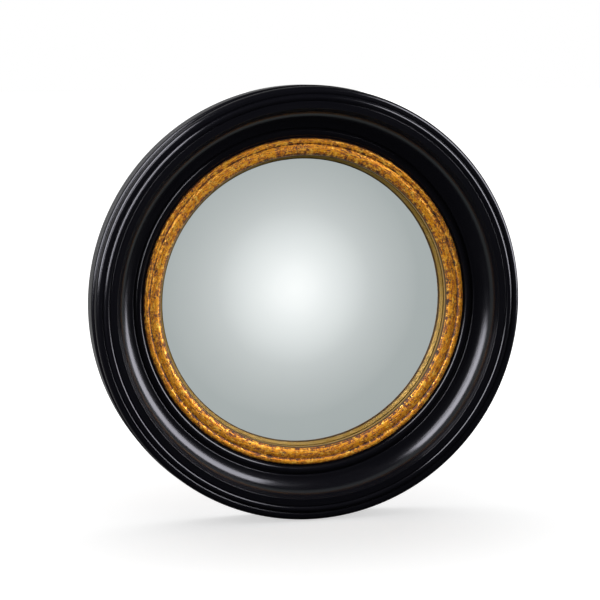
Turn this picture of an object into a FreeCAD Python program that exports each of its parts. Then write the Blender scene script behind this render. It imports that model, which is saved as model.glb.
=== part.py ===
import FreeCAD, Part
import math
import os
import Sketcher

# Round convex wall mirror in a deep turned frame. Millimetres, +Z up. The axis of the
# mirror is the Y axis, its front looks along -Y, and the wall touches the plane Y = 0.
# A section point is given by its radius from that axis and its depth in front of the wall.

doc = FreeCAD.newDocument("ConvexMirror")
sheet = doc.addObject("Spreadsheet::Sheet", "Dims")

DRIVING = [
    # frame as a whole
    ("frame_radius", 265.0),
    ("frame_depth", 60.0),
    ("glue_line_depth", 20.0),
    ("wood_gap", 0.3),
    # turned carcass behind the glue line
    ("carcass_setback", 0.5),
    ("back_arris", 1.0),
    ("tray_wall", 17.0),
    ("tray_depth", 5.5),
    # side of the face moulding
    ("side_bead_radius", 3.5),
    ("side_bead_depth", 29.5),
    ("scotia_sagitta", 1.8),
    ("scotia_inset", 3.2),
    ("nose_setback", 1.2),
    ("nose_radius", 5.2),
    ("nose_side", 1.8),
    # front of the face moulding, from the nose inwards
    ("land_drop", 1.5),
    ("outer_land", 2.2),
    ("quirk_width", 1.5),
    ("quirk_drop", 1.3),
    ("front_bead_radius", 4.0),
    ("front_bead_inset", 14.6),
    ("inner_land", 7.8),
    ("arris_round", 0.7),
    ("cove_width", 22.14),
    # foot of the cove and the astragal beside the slip
    ("lip_depth", 29.2),
    ("lip_width", 1.2),
    ("foot_quirk", 1.1),
    ("astragal_radius", 5.5),
    ("astragal_rise", 3.2),
    ("rim_land", 1.4),
    ("rim_depth", 26.3),
    # gilt slip
    ("slip_face", 21.7),
    ("slip_tongue", 4.8),
    ("tongue_rise", 3.0),
    ("slip_edge_depth", 26.2),
    ("outer_roll_width", 7.3),
    ("outer_roll_radius", 4.0),
    ("roll_valley_depth", 27.3),
    ("valley_width", 0.7),
    ("valley_drop", 0.9),
    ("inner_roll_radius", 9.0),
    ("sight_wall", 7.5),
    # convex glass and what holds it
    ("glass_overlap", 5.5),
    ("glass_sag", 30.0),
    ("glass_thickness", 3.0),
    ("gasket_thickness", 1.0),
    ("gasket_inset", 1.0),
    ("packing_thickness", 1.0),
    ("packing_width", 11.0),
    ("board_margin", 3.5),
    ("board_thickness", 3.0),
    ("seat_gap", 0.1),
    # turn-buttons and their screws
    ("button_count", 6),
    ("button_reach", 24.0),
    ("button_bite", 5.5),
    ("button_half_width", 5.5),
    ("button_thickness", 1.2),
    ("button_gap", 0.1),
    ("pivot_clearance", 0.08),
    # screws
    ("pan_head_radius", 3.4),
    ("pan_head_height", 1.6),
    ("small_shank_radius", 1.75),
    ("button_screw_length", 12.0),
    ("strap_screw_length", 9.5),
    ("long_screw_count", 8),
    ("long_screw_inset", 8.0),
    ("long_screw_length", 32.0),
    ("long_shank_radius", 2.0),
    ("countersink_radius", 3.8),
    ("countersink_depth", 2.2),
    ("screw_point", 4.0),
    ("thread_gap", 0.05),
    # hanger at the top
    ("strap_width", 12.0),
    ("strap_length", 38.0),
    ("strap_thickness", 1.0),
    ("strap_edge_gap", 1.0),
    ("knuckle_lift", 0.15),
    ("wire_radius", 1.15),
    ("ring_half_width", 9.5),
    ("ring_length", 17.0),
    ("ring_corner", 2.5),
    ("first_strap_screw", 25.5),
    ("strap_screw_pitch", 8.0),
]

for row, (alias, size) in enumerate(DRIVING, start=1):
    sheet.set(f"A{row}", alias)
    sheet.set(f"B{row}", str(size))
    sheet.setAlias(f"B{row}", alias)
doc.recompute()


def number(expression):
    """Present value of an expression, for the first drawing of a sketch and for counts."""
    return float(sheet.evalExpression(str(expression)))


# ---------------------------------------------------------------- derived places
CARCASS_RADIUS = "(Dims.frame_radius - Dims.carcass_setback)"
TRAY_RADIUS = f"({CARCASS_RADIUS} - Dims.tray_wall)"

# radii of the face moulding, from the outside inwards
LAND = "(Dims.frame_depth - Dims.land_drop)"
QUIRK_DEPTH = f"({LAND} - Dims.quirk_drop)"
CREST = "(Dims.frame_radius - Dims.front_bead_inset)"
BEAD_DROP = f"({QUIRK_DEPTH} - Dims.frame_depth + Dims.front_bead_radius)"
HALF_BEAD = f"sqrt(Dims.front_bead_radius^2 - {BEAD_DROP}^2)"
BEAD_INSIDE = f"({CREST} - {HALF_BEAD})"
INNER_ARRIS = f"({BEAD_INSIDE} - Dims.quirk_width / 2)"
COVE_TOP = f"({INNER_ARRIS} - Dims.inner_land)"
COVE_EDGE = f"({COVE_TOP} - Dims.arris_round)"
LIP = f"({COVE_EDGE} - Dims.cove_width)"
LIP_INSIDE = f"({LIP} - Dims.lip_width)"
ASTRAGAL_HALF = "sqrt(2 * Dims.astragal_radius * Dims.astragal_rise - Dims.astragal_rise^2)"
ASTRAGAL_OUTSIDE = f"({LIP_INSIDE} - Dims.foot_quirk)"
ASTRAGAL_INSIDE = f"({ASTRAGAL_OUTSIDE} - 2 * {ASTRAGAL_HALF})"
RIM_HOLE = f"({ASTRAGAL_INSIDE} - Dims.rim_land)"
SLIP_EDGE = f"({RIM_HOLE} - Dims.wood_gap)"
SIGHT_RADIUS = f"({SLIP_EDGE} - Dims.slip_face)"

# what lies inside the moulding
GLASS_RIM = f"({SIGHT_RADIUS} + Dims.glass_overlap)"
BOARD_RADIUS = f"({GLASS_RIM} + Dims.board_margin)"
BOARD_BORE = f"({BOARD_RADIUS} + Dims.wood_gap)"
SLIP_RADIUS = f"({SLIP_EDGE} + Dims.slip_tongue)"
SLIP_BORE = f"({SLIP_RADIUS} + Dims.wood_gap)"

BOARD_FRONT = "(Dims.tray_depth + Dims.board_thickness)"
PACKING_FRONT = f"({BOARD_FRONT} + Dims.packing_thickness)"
GLASS_BACK_DEPTH = f"({PACKING_FRONT} + Dims.seat_gap)"
CROWN = f"(({GLASS_RIM}^2 + Dims.glass_sag^2) / (2 * Dims.glass_sag))"
BACK_CROWN = f"({CROWN} - Dims.glass_thickness)"
CROWN_CENTRE = f"({GLASS_BACK_DEPTH} - sqrt({BACK_CROWN}^2 - {GLASS_RIM}^2))"
GASKET_INNER = f"({SIGHT_RADIUS} + Dims.gasket_inset)"
GASKET_OUTER = f"({GLASS_RIM} - Dims.gasket_inset / 2)"


def glass_front(radius):
    """Depth of the front of the glass at a radius."""
    return f"({CROWN_CENTRE} + sqrt({CROWN}^2 - ({radius})^2))"


SLIP_BACK = f"({glass_front(GASKET_INNER)} + Dims.seat_gap + Dims.gasket_thickness)"
TONGUE_TOP = "(Dims.glue_line_depth + Dims.tongue_rise)"
REBATE_DEPTH = f"({TONGUE_TOP} + Dims.wood_gap)"

BUTTON_TIP = f"({BOARD_RADIUS} - Dims.button_bite)"
PIVOT_RADIUS = f"({BUTTON_TIP} + Dims.button_half_width + Dims.button_reach)"
BUTTON_FLOOR = "(Dims.tray_depth - Dims.button_gap)"
BUTTON_TOP = f"({BUTTON_FLOOR} - Dims.button_thickness)"
BUTTON_HEAD_SEAT = f"({BUTTON_TOP} - Dims.button_gap)"
SCREW_CLEARANCE_HOLE = "(Dims.small_shank_radius + Dims.pivot_clearance)"

LONG_SCREW_RADIUS = f"({TRAY_RADIUS} - Dims.long_screw_inset)"
LONG_SCREW_START = 180 / number("Dims.long_screw_count")

KNUCKLE_BORE = "(Dims.wire_radius + Dims.thread_gap)"
KNUCKLE_RADIUS = f"({KNUCKLE_BORE} + Dims.strap_thickness)"
KNUCKLE_DEPTH = f"(Dims.tray_depth - {KNUCKLE_RADIUS} - Dims.knuckle_lift)"
KNUCKLE_HEIGHT = (
    f"({TRAY_RADIUS} - Dims.strap_edge_gap - Dims.wire_radius - Dims.ring_length)"
)
STRAP_TOP = "(Dims.tray_depth - Dims.strap_thickness)"
FIRST_STRAP_HOLE = f"({KNUCKLE_HEIGHT} - Dims.first_strap_screw)"
STRAP_HOLES = (FIRST_STRAP_HOLE, f"({FIRST_STRAP_HOLE} - Dims.strap_screw_pitch)")
TOP = 90


# ---------------------------------------------------------------- drawing helpers
def new_body(label):
    body = doc.addObject("PartDesign::Body", label)
    body.Label = label
    return body


def origin_feature(body, role):
    return next(f for f in body.Origin.OriginFeatures if f.Role == role)


def new_sketch(body, name, plane="XY_Plane", offset=None):
    sketch = body.newObject("Sketcher::SketchObject", name)
    sketch.AttachmentSupport = [(origin_feature(body, plane), "")]
    sketch.MapMode = "FlatFace"
    if offset is not None:
        sketch.AttachmentOffset = offset
    return sketch


def bind(sketch, index, expression):
    sketch.setExpression(f"Constraints[{index}]", str(expression))


def pin_point(sketch, geometry, corner, across, along):
    """Ties one point of a sketch to the sheet: across is its X, along is minus its Y."""
    origin, point = (-1, 1), (geometry, corner)
    for kind, axis, expression, ends in (
        ("DistanceX", -2, across, (origin, point)),
        ("DistanceY", -1, along, (point, origin)),
    ):
        value = number(expression)
        if abs(value) < 1e-9:
            sketch.addConstraint(Sketcher.Constraint("PointOnObject", *point, axis))
            continue
        if value < 0:
            ends, value, expression = ends[::-1], -value, f"-({expression})"
        place = Sketcher.Constraint(kind, *ends[0], *ends[1], value)
        bind(sketch, sketch.addConstraint(place), expression)


def arc_between(start, end, radius, bulge):
    """Arc from start to end. bulge is 1 when the arc swells to the left of the way from
    start to end and -1 when it swells to the right. Returns the arc and whether it runs
    backwards, since a sketch keeps every arc anticlockwise."""
    chord = end - start
    half = chord.Length / 2
    rise = math.sqrt(max(radius * radius - half * half, 0.0))
    left = FreeCAD.Vector(-chord.y, chord.x, 0).normalize()
    centre = (start + end) * 0.5 - left * (bulge * rise)
    first, last = (end, start) if bulge > 0 else (start, end)
    a0 = math.atan2(first.y - centre.y, first.x - centre.x)
    a1 = math.atan2(last.y - centre.y, last.x - centre.x)
    if a1 <= a0:
        a1 += 2 * math.pi
    circle = Part.Circle(centre, FreeCAD.Vector(0, 0, 1), radius)
    return Part.ArcOfCircle(circle, a0, a1), bulge > 0


def draw_outline(sketch, outline):
    """Draws a closed outline. Each entry is (radius, depth) of a corner, or
    (radius, depth, arc radius, bulge) when the edge that leaves it is an arc."""
    points = [FreeCAD.Vector(number(p[0]), -number(p[1]), 0) for p in outline]
    ends = []
    for index, corner in enumerate(outline):
        start = points[index]
        end = points[(index + 1) % len(points)]
        if len(corner) == 4:
            arc, backwards = arc_between(start, end, number(corner[2]), corner[3])
            edge = sketch.addGeometry(arc)
            rounding = Sketcher.Constraint("Radius", edge, number(corner[2]))
            bind(sketch, sketch.addConstraint(rounding), corner[2])
            ends.append((edge, 2, 1) if backwards else (edge, 1, 2))
        else:
            edge = sketch.addGeometry(Part.LineSegment(start, end))
            ends.append((edge, 1, 2))
    for index, corner in enumerate(outline):
        edge, first, _ = ends[index]
        before, _, last = ends[index - 1]
        sketch.addConstraint(Sketcher.Constraint("Coincident", before, last, edge, first))
        pin_point(sketch, edge, first, corner[0], corner[1])


def side_plane(angle):
    """Turns a sketch plane through the mirror's axis to an angle from +X towards +Z."""
    return FreeCAD.Placement(
        FreeCAD.Vector(0, 0, 0), FreeCAD.Rotation(FreeCAD.Vector(0, 1, 0), -angle)
    )


def turn(body, name, outline, kind="PartDesign::Revolution", axis=None, angle=0):
    """Turns an outline about the mirror's axis, or about a line beside it."""
    sketch = new_sketch(body, f"{name}Section", offset=side_plane(angle))
    draw_outline(sketch, outline)
    line = "V_Axis"
    if axis is not None:
        low = FreeCAD.Vector(number(axis), -number("Dims.frame_depth"), 0)
        high = FreeCAD.Vector(number(axis), 0, 0)
        centre_line = sketch.addGeometry(Part.LineSegment(low, high), True)
        pin_point(sketch, centre_line, 1, axis, "Dims.frame_depth")
        pin_point(sketch, centre_line, 2, axis, 0)
        line = "Axis0"
    feature = body.newObject(kind, name)
    feature.Profile = sketch
    feature.ReferenceAxis = (sketch, [line])
    feature.Angle = 360
    body.Tip = feature
    return feature


def ring_pattern(body, feature, name, count):
    """Repeats a feature evenly round the mirror's axis."""
    pattern = body.newObject("PartDesign::PolarPattern", name)
    pattern.Originals = [feature]
    pattern.Axis = (origin_feature(body, "Y_Axis"), [""])
    pattern.Angle = 360
    pattern.setExpression("Occurrences", count)
    body.Tip = pattern
    return pattern


def pan_screw(axis, seat, reach, gap="0"):
    """Half section of a pan head screw: seat is the depth under its head, reach its length."""
    shank = f"({axis} + Dims.small_shank_radius + {gap})"
    shoulder = f"({seat} + {reach} - Dims.screw_point)"
    return [
        (axis, f"({seat} - Dims.pan_head_height)"),
        (f"({axis} + Dims.pan_head_radius)", f"({seat} - Dims.pan_head_height)"),
        (f"({axis} + Dims.pan_head_radius)", seat),
        (shank, seat),
        (shank, shoulder),
        (axis, f"({seat} + {reach})"),
    ]


def pilot_hole(axis, mouth, seat, reach):
    """Half section of the hole that takes the shank of such a screw."""
    wall = f"({axis} + Dims.small_shank_radius + Dims.thread_gap)"
    return [
        (axis, mouth),
        (wall, mouth),
        (wall, f"({seat} + {reach} - Dims.screw_point)"),
        (axis, f"({seat} + {reach} + 2 * Dims.thread_gap)"),
    ]


def countersunk(axis, mouth, gap="0"):
    """Half section of a countersunk screw that is flush at its mouth, or of its hole."""
    shank = f"({axis} + Dims.long_shank_radius + {gap})"
    return [
        (axis, mouth),
        (f"({axis} + Dims.countersink_radius + {gap})", mouth),
        (shank, f"({mouth} + Dims.countersink_depth)"),
        (shank, f"({mouth} + Dims.long_screw_length - Dims.screw_point)"),
        (axis, f"({mouth} + Dims.long_screw_length + 2 * {gap})"),
    ]


# ---------------------------------------------------------------- wooden rings
def make_back_ring():
    """Turned carcass: floor of the back tray, bore for the glass, seat for the slip."""
    body = new_body("back_ring")
    turn(body, "Turning", [
        (BOARD_BORE, "Dims.tray_depth"),
        (BOARD_BORE, SLIP_BACK),
        (SLIP_BORE, SLIP_BACK),
        (SLIP_BORE, "Dims.glue_line_depth"),
        (CARCASS_RADIUS, "Dims.glue_line_depth"),
        (CARCASS_RADIUS, "Dims.tray_depth"),
    ])
    hole = turn(
        body, "ButtonPilot",
        pilot_hole(PIVOT_RADIUS, "Dims.tray_depth", BUTTON_HEAD_SEAT, "Dims.button_screw_length"),
        kind="PartDesign::Groove", axis=PIVOT_RADIUS,
    )
    ring_pattern(body, hole, "ButtonPilots", "Dims.button_count")
    hole = turn(
        body, "LongScrewHole",
        countersunk(LONG_SCREW_RADIUS, "Dims.tray_depth", "Dims.thread_gap"),
        kind="PartDesign::Groove", axis=LONG_SCREW_RADIUS, angle=LONG_SCREW_START,
    )
    ring_pattern(body, hole, "LongScrewHoles", "Dims.long_screw_count")
    for place, name in zip(STRAP_HOLES, ("UpperStrapPilot", "LowerStrapPilot")):
        turn(
            body, name,
            pilot_hole(place, "Dims.tray_depth", STRAP_TOP, "Dims.strap_screw_length"),
            kind="PartDesign::Groove", axis=place, angle=TOP,
        )
    return body


def make_back_rim():
    """Turned rim glued behind the carcass: it walls the tray and lies on the wall."""
    body = new_body("back_rim")
    turn(body, "Turning", [
        (TRAY_RADIUS, 0),
        (TRAY_RADIUS, "Dims.tray_depth"),
        (CARCASS_RADIUS, "Dims.tray_depth"),
        (CARCASS_RADIUS, "Dims.back_arris"),
        (f"({CARCASS_RADIUS} - Dims.back_arris)", 0),
    ])
    return body


def make_front_moulding():
    """Turned face moulding: side bead and scotia, nose, front bead, cove and astragal."""
    nose = "(Dims.frame_radius - Dims.nose_setback)"
    hollow = "(Dims.frame_radius - Dims.scotia_inset)"
    half_side = "sqrt(2 * Dims.side_bead_radius * Dims.scotia_inset - Dims.scotia_inset^2)"
    bead_top = f"(Dims.side_bead_depth + {half_side})"
    bead_foot = f"(Dims.side_bead_depth - {half_side})"
    nose_foot = f"({LAND} - Dims.nose_radius)"
    scotia_top = f"({nose_foot} - 2 * Dims.nose_side)"
    scotia_chord = f"({scotia_top} - {bead_top})"
    scotia = f"(({scotia_chord}^2 / 4 + Dims.scotia_sagitta^2) / (2 * Dims.scotia_sagitta))"
    outer_arris = f"({nose} - Dims.nose_radius - Dims.outer_land)"
    cove_edge_depth = f"({LAND} - Dims.arris_round)"
    cove_depth = f"({cove_edge_depth} - Dims.lip_depth)"
    cove = f"((Dims.cove_width^2 + {cove_depth}^2) / (2 * Dims.cove_width))"
    body = new_body("front_moulding")
    turn(body, "Turning", [
        (SLIP_BORE, "Dims.glue_line_depth"),
        (SLIP_BORE, REBATE_DEPTH),
        (RIM_HOLE, REBATE_DEPTH),
        (RIM_HOLE, "Dims.rim_depth"),
        (ASTRAGAL_INSIDE, "Dims.rim_depth", "Dims.astragal_radius", -1),
        (ASTRAGAL_OUTSIDE, "Dims.rim_depth"),
        (LIP_INSIDE, "(Dims.lip_depth - Dims.foot_quirk / 2)"),
        (LIP, "Dims.lip_depth", cove, 1),
        (COVE_EDGE, cove_edge_depth, "Dims.arris_round", -1),
        (COVE_TOP, LAND),
        (INNER_ARRIS, LAND),
        (BEAD_INSIDE, QUIRK_DEPTH, "Dims.front_bead_radius", -1),
        (f"({CREST} + {HALF_BEAD})", QUIRK_DEPTH),
        (outer_arris, LAND),
        (f"({nose} - Dims.nose_radius)", LAND, "Dims.nose_radius", -1),
        (nose, nose_foot),
        (nose, f"({nose_foot} - Dims.nose_side)"),
        (hollow, scotia_top, scotia, 1),
        (hollow, bead_top, "Dims.side_bead_radius", -1),
        (hollow, bead_foot),
        (CARCASS_RADIUS, bead_foot),
        (CARCASS_RADIUS, "Dims.glue_line_depth"),
    ])
    hole = turn(
        body, "LongScrewHole",
        countersunk(LONG_SCREW_RADIUS, "Dims.tray_depth", "Dims.thread_gap"),
        kind="PartDesign::Groove", axis=LONG_SCREW_RADIUS, angle=LONG_SCREW_START,
    )
    ring_pattern(body, hole, "LongScrewHoles", "Dims.long_screw_count")
    return body


def make_gilt_slip():
    """Inner moulding with an outer roll, a valley and an inner roll down to the glass."""
    valley = f"({SLIP_EDGE} - Dims.outer_roll_width)"
    body = new_body("gilt_slip")
    turn(body, "Turning", [
        (SIGHT_RADIUS, SLIP_BACK),
        (SIGHT_RADIUS, f"({SLIP_BACK} + Dims.sight_wall)", "Dims.inner_roll_radius", -1),
        (f"({valley} - Dims.valley_width)", "(Dims.roll_valley_depth - Dims.valley_drop)"),
        (valley, "Dims.roll_valley_depth", "Dims.outer_roll_radius", -1),
        (SLIP_EDGE, "Dims.slip_edge_depth"),
        (SLIP_EDGE, TONGUE_TOP),
        (SLIP_RADIUS, TONGUE_TOP),
        (SLIP_RADIUS, SLIP_BACK),
    ])
    return body


# ---------------------------------------------------------------- glass and its packing
def make_convex_glass():
    """Dished mirror glass: the shell between two spheres about one centre, cut round."""
    outer = doc.addObject("Part::Sphere", "GlassFront")
    inner = doc.addObject("Part::Sphere", "GlassBack")
    for ball, radius in ((outer, CROWN), (inner, BACK_CROWN)):
        ball.setExpression("Radius", radius)
        ball.setExpression("Placement.Base.y", f"-{CROWN_CENTRE}")
    shell = doc.addObject("Part::Cut", "GlassShell")
    shell.Base = outer
    shell.Tool = inner
    blank = doc.addObject("Part::Cylinder", "GlassRound")
    blank.Placement.Rotation = FreeCAD.Rotation(FreeCAD.Vector(1, 0, 0), 90)
    blank.setExpression("Radius", GLASS_RIM)
    blank.setExpression("Height", "Dims.frame_depth")
    glass = doc.addObject("Part::Common", "convex_glass")
    glass.Base = shell
    glass.Tool = blank
    glass.Label = "convex_glass"
    return glass


def make_glass_gasket():
    """Felt ring between the back of the slip and the front of the glass."""
    body = new_body("glass_gasket")
    turn(body, "Turning", [
        (GASKET_INNER, SLIP_BACK),
        (GASKET_OUTER, SLIP_BACK),
        (GASKET_OUTER, f"({glass_front(GASKET_OUTER)} + Dims.seat_gap)"),
        (GASKET_INNER, f"({glass_front(GASKET_INNER)} + Dims.seat_gap)"),
    ])
    return body


def make_packing_ring():
    """Card ring under the edge of the glass."""
    body = new_body("packing_ring")
    outer = f"({GLASS_RIM} + Dims.gasket_inset)"
    inner = f"({outer} - Dims.packing_width)"
    turn(body, "Turning", [
        (inner, BOARD_FRONT),
        (inner, PACKING_FRONT),
        (outer, PACKING_FRONT),
        (outer, BOARD_FRONT),
    ])
    return body


def make_backing_board():
    """Hardboard disc that lies flush with the floor of the tray."""
    body = new_body("backing_board")
    turn(body, "Turning", [
        (0, "Dims.tray_depth"),
        (0, BOARD_FRONT),
        (BOARD_RADIUS, BOARD_FRONT),
        (BOARD_RADIUS, "Dims.tray_depth"),
    ])
    return body


# ---------------------------------------------------------------- turn-buttons and screws
def make_turn_button(index, count):
    """Flat steel button on a pivot screw: it points inwards, over the edge of the board."""
    half = "Dims.button_half_width"
    reach = "Dims.button_reach"
    angle = 360.0 * index / count
    body = new_body(f"turn_button_{index + 1}")
    sketch = new_sketch(body, "Blank", plane="XZ_Plane")
    draw_outline(sketch, [
        (0, f"-{half}"),
        (f"-{reach}", f"-{half}", half, -1),
        (f"-({reach} + {half})", 0, half, -1),
        (f"-{reach}", half),
        (0, half, half, -1),
        (half, 0, half, -1),
    ])
    pad = body.newObject("PartDesign::Pad", "Plate")
    pad.Profile = sketch
    pad.Reversed = True
    pad.setExpression("Length", "Dims.button_thickness")
    doc.recompute()
    eye = new_sketch(body, "Eye", plane="XZ_Plane")
    circle = Part.Circle(FreeCAD.Vector(0, 0, 0), FreeCAD.Vector(0, 0, 1), number(SCREW_CLEARANCE_HOLE))
    edge = eye.addGeometry(circle)
    eye.addConstraint(Sketcher.Constraint("Coincident", edge, 3, -1, 1))
    rounding = Sketcher.Constraint("Radius", edge, number(SCREW_CLEARANCE_HOLE))
    bind(eye, eye.addConstraint(rounding), SCREW_CLEARANCE_HOLE)
    hole = body.newObject("PartDesign::Pocket", "PivotHole")
    hole.Profile = eye
    hole.Type = "ThroughAll"
    hole.Midplane = True
    body.Tip = hole
    body.Placement = FreeCAD.Placement(
        FreeCAD.Vector(0, 0, 0), FreeCAD.Rotation(FreeCAD.Vector(0, 1, 0), -angle)
    )
    body.setExpression("Placement.Base.x", f"{PIVOT_RADIUS} * cos({angle})")
    body.setExpression("Placement.Base.y", f"-{BUTTON_FLOOR}")
    body.setExpression("Placement.Base.z", f"{PIVOT_RADIUS} * sin({angle})")
    return body


def make_turn_button_screws():
    """Pan head screws on which the turn-buttons swing, one solid each."""
    body = new_body("turn_button_screws")
    body.AllowCompound = True
    screw = turn(
        body, "Screw",
        pan_screw(PIVOT_RADIUS, BUTTON_HEAD_SEAT, "Dims.button_screw_length"),
        axis=PIVOT_RADIUS,
    )
    ring_pattern(body, screw, "Screws", "Dims.button_count")
    return body


def make_moulding_screws():
    """Countersunk screws that draw the face moulding onto the carcass, one solid each."""
    body = new_body("moulding_screws")
    body.AllowCompound = True
    screw = turn(
        body, "Screw", countersunk(LONG_SCREW_RADIUS, "Dims.tray_depth"),
        axis=LONG_SCREW_RADIUS, angle=LONG_SCREW_START,
    )
    ring_pattern(body, screw, "Screws", "Dims.long_screw_count")
    return body


# ---------------------------------------------------------------- hanger
def make_hanger_strap():
    """Steel strap with a rolled knuckle for the ring and two screw holes."""
    plate = doc.addObject("Part::Box", "StrapPlate")
    plate.setExpression("Length", "Dims.strap_width")
    plate.setExpression("Width", "Dims.strap_thickness")
    plate.setExpression("Height", "Dims.strap_length")
    plate.setExpression("Placement.Base.x", "-Dims.strap_width / 2")
    plate.setExpression("Placement.Base.y", "-Dims.tray_depth")
    plate.setExpression("Placement.Base.z", f"{KNUCKLE_HEIGHT} - Dims.strap_length")
    along_x = FreeCAD.Rotation(FreeCAD.Vector(0, 1, 0), 90)
    along_y = FreeCAD.Rotation(FreeCAD.Vector(1, 0, 0), -90)
    barrel = doc.addObject("Part::Cylinder", "Knuckle")
    bore = doc.addObject("Part::Cylinder", "KnuckleBore")
    for rod, radius in ((barrel, KNUCKLE_RADIUS), (bore, KNUCKLE_BORE)):
        rod.Placement.Rotation = along_x
        rod.setExpression("Radius", radius)
        rod.setExpression("Height", "Dims.strap_width")
        rod.setExpression("Placement.Base.x", "-Dims.strap_width / 2")
        rod.setExpression("Placement.Base.y", f"-{KNUCKLE_DEPTH}")
        rod.setExpression("Placement.Base.z", KNUCKLE_HEIGHT)
    holes = []
    for place, name in zip(STRAP_HOLES, ("UpperStrapHole", "LowerStrapHole")):
        hole = doc.addObject("Part::Cylinder", name)
        hole.Placement.Rotation = along_y
        hole.setExpression("Radius", SCREW_CLEARANCE_HOLE)
        hole.setExpression("Height", "2 * Dims.tray_depth")
        hole.setExpression("Placement.Base.y", "-2 * Dims.tray_depth")
        hole.setExpression("Placement.Base.z", place)
        holes.append(hole)
    blank = doc.addObject("Part::Fuse", "StrapBlank")
    blank.Base = plate
    blank.Tool = barrel
    tools = doc.addObject("Part::MultiFuse", "StrapCuts")
    tools.Shapes = [bore, *holes]
    strap = doc.addObject("Part::Cut", "hanger_strap")
    strap.Base = blank
    strap.Tool = tools
    strap.Label = "hanger_strap"
    return strap


def make_hanger_ring():
    """Wire ring with a straight bar through the knuckle. It hangs down over the strap."""
    half = "Dims.ring_half_width"
    corner = "Dims.ring_corner"
    bow = f"(Dims.ring_length - {half})"
    body = new_body("hanger_ring")
    path = new_sketch(body, "Centreline", plane="XZ_Plane")
    draw_outline(path, [
        (f"-({half} - {corner})", 0),
        (f"({half} - {corner})", 0, corner, 1),
        (half, corner),
        (half, bow, half, 1),
        (0, "Dims.ring_length", half, 1),
        (f"-{half}", bow),
        (f"-{half}", corner, corner, 1),
    ])
    section = new_sketch(body, "Wire", plane="YZ_Plane")
    circle = Part.Circle(
        FreeCAD.Vector(0, 0, 0), FreeCAD.Vector(0, 0, 1), number("Dims.wire_radius")
    )
    edge = section.addGeometry(circle)
    section.addConstraint(Sketcher.Constraint("Coincident", edge, 3, -1, 1))
    rounding = Sketcher.Constraint("Radius", edge, number("Dims.wire_radius"))
    bind(section, section.addConstraint(rounding), "Dims.wire_radius")
    pipe = body.newObject("PartDesign::AdditivePipe", "Bend")
    pipe.Profile = section
    pipe.Spine = (path, [])
    body.Tip = pipe
    body.setExpression("Placement.Base.y", f"-{KNUCKLE_DEPTH}")
    body.setExpression("Placement.Base.z", KNUCKLE_HEIGHT)
    return body


def make_hanger_screws():
    """Pan head screws through the strap, one solid each."""
    body = new_body("hanger_screws")
    body.AllowCompound = True
    for place, name in zip(STRAP_HOLES, ("UpperScrew", "LowerScrew")):
        turn(
            body, name, pan_screw(place, STRAP_TOP, "Dims.strap_screw_length"),
            axis=place, angle=TOP,
        )
    return body


# ---------------------------------------------------------------- build, test and write
button_total = round(number("Dims.button_count"))
pieces = [
    make_back_ring(),
    make_back_rim(),
    make_front_moulding(),
    make_gilt_slip(),
    make_glass_gasket(),
    make_convex_glass(),
    make_packing_ring(),
    make_backing_board(),
    *[make_turn_button(i, button_total) for i in range(button_total)],
    make_turn_button_screws(),
    make_moulding_screws(),
    make_hanger_strap(),
    make_hanger_ring(),
    make_hanger_screws(),
]
doc.recompute()

for thing in doc.Objects:
    faults = [state for state in thing.State if state in ("Invalid", "Error")]
    if faults:
        raise RuntimeError(f"{thing.Label} is {faults}")
for piece in pieces:
    if piece.Shape.isNull() or not piece.Shape.isValid():
        raise RuntimeError(f"{piece.Label} has no valid shape")

os.makedirs("parts", exist_ok=True)
for piece in pieces:
    piece.Shape.exportStep(f"parts/{piece.Label}.step")
    box = piece.Shape.BoundBox
    print(
        f"{piece.Label}: {len(piece.Shape.Solids)} solids, {piece.Shape.Volume:.1f} mm3, "
        f"x {box.XMin:.2f}..{box.XMax:.2f} y {box.YMin:.2f}..{box.YMax:.2f} "
        f"z {box.ZMin:.2f}..{box.ZMax:.2f}"
    )
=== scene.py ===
"""Looks of a round convex mirror: black lacquered turned frame, worn gilt slip, dished glass.

Metres, +Z up. The mirror's axis is the Y axis, its front looks along -Y and the wall is the
plane Y = 0. A section point is (radius from the axis, depth in front of the wall).
"""

import cmath
import math
import random

import bmesh
import bpy
from bpy.props import FloatProperty, FloatVectorProperty, IntProperty, PointerProperty
from mathutils import Matrix, Vector, noise


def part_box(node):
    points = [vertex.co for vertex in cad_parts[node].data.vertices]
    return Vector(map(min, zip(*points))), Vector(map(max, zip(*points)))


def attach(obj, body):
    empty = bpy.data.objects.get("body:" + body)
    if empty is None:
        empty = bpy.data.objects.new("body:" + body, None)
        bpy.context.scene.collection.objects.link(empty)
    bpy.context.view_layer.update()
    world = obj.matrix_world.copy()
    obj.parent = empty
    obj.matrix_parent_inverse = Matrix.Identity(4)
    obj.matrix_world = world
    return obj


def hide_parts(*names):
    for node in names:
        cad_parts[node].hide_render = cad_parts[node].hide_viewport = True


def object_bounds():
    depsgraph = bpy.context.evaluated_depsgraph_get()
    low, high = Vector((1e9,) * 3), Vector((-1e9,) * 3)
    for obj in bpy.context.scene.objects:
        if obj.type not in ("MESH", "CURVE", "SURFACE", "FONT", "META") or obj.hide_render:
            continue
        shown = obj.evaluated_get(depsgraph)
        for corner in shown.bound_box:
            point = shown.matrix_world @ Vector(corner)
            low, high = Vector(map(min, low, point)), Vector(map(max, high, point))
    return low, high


bl_info = {
    "name": "Turned Convex Mirror",
    "version": (1, 0, 0),
    "blender": (4, 5, 0),
    "location": "View3D > Sidebar > Mirror",
    "description": "Builds a convex mirror in a turned black frame with a gilt slip",
    "category": "Mesh",
}

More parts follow.
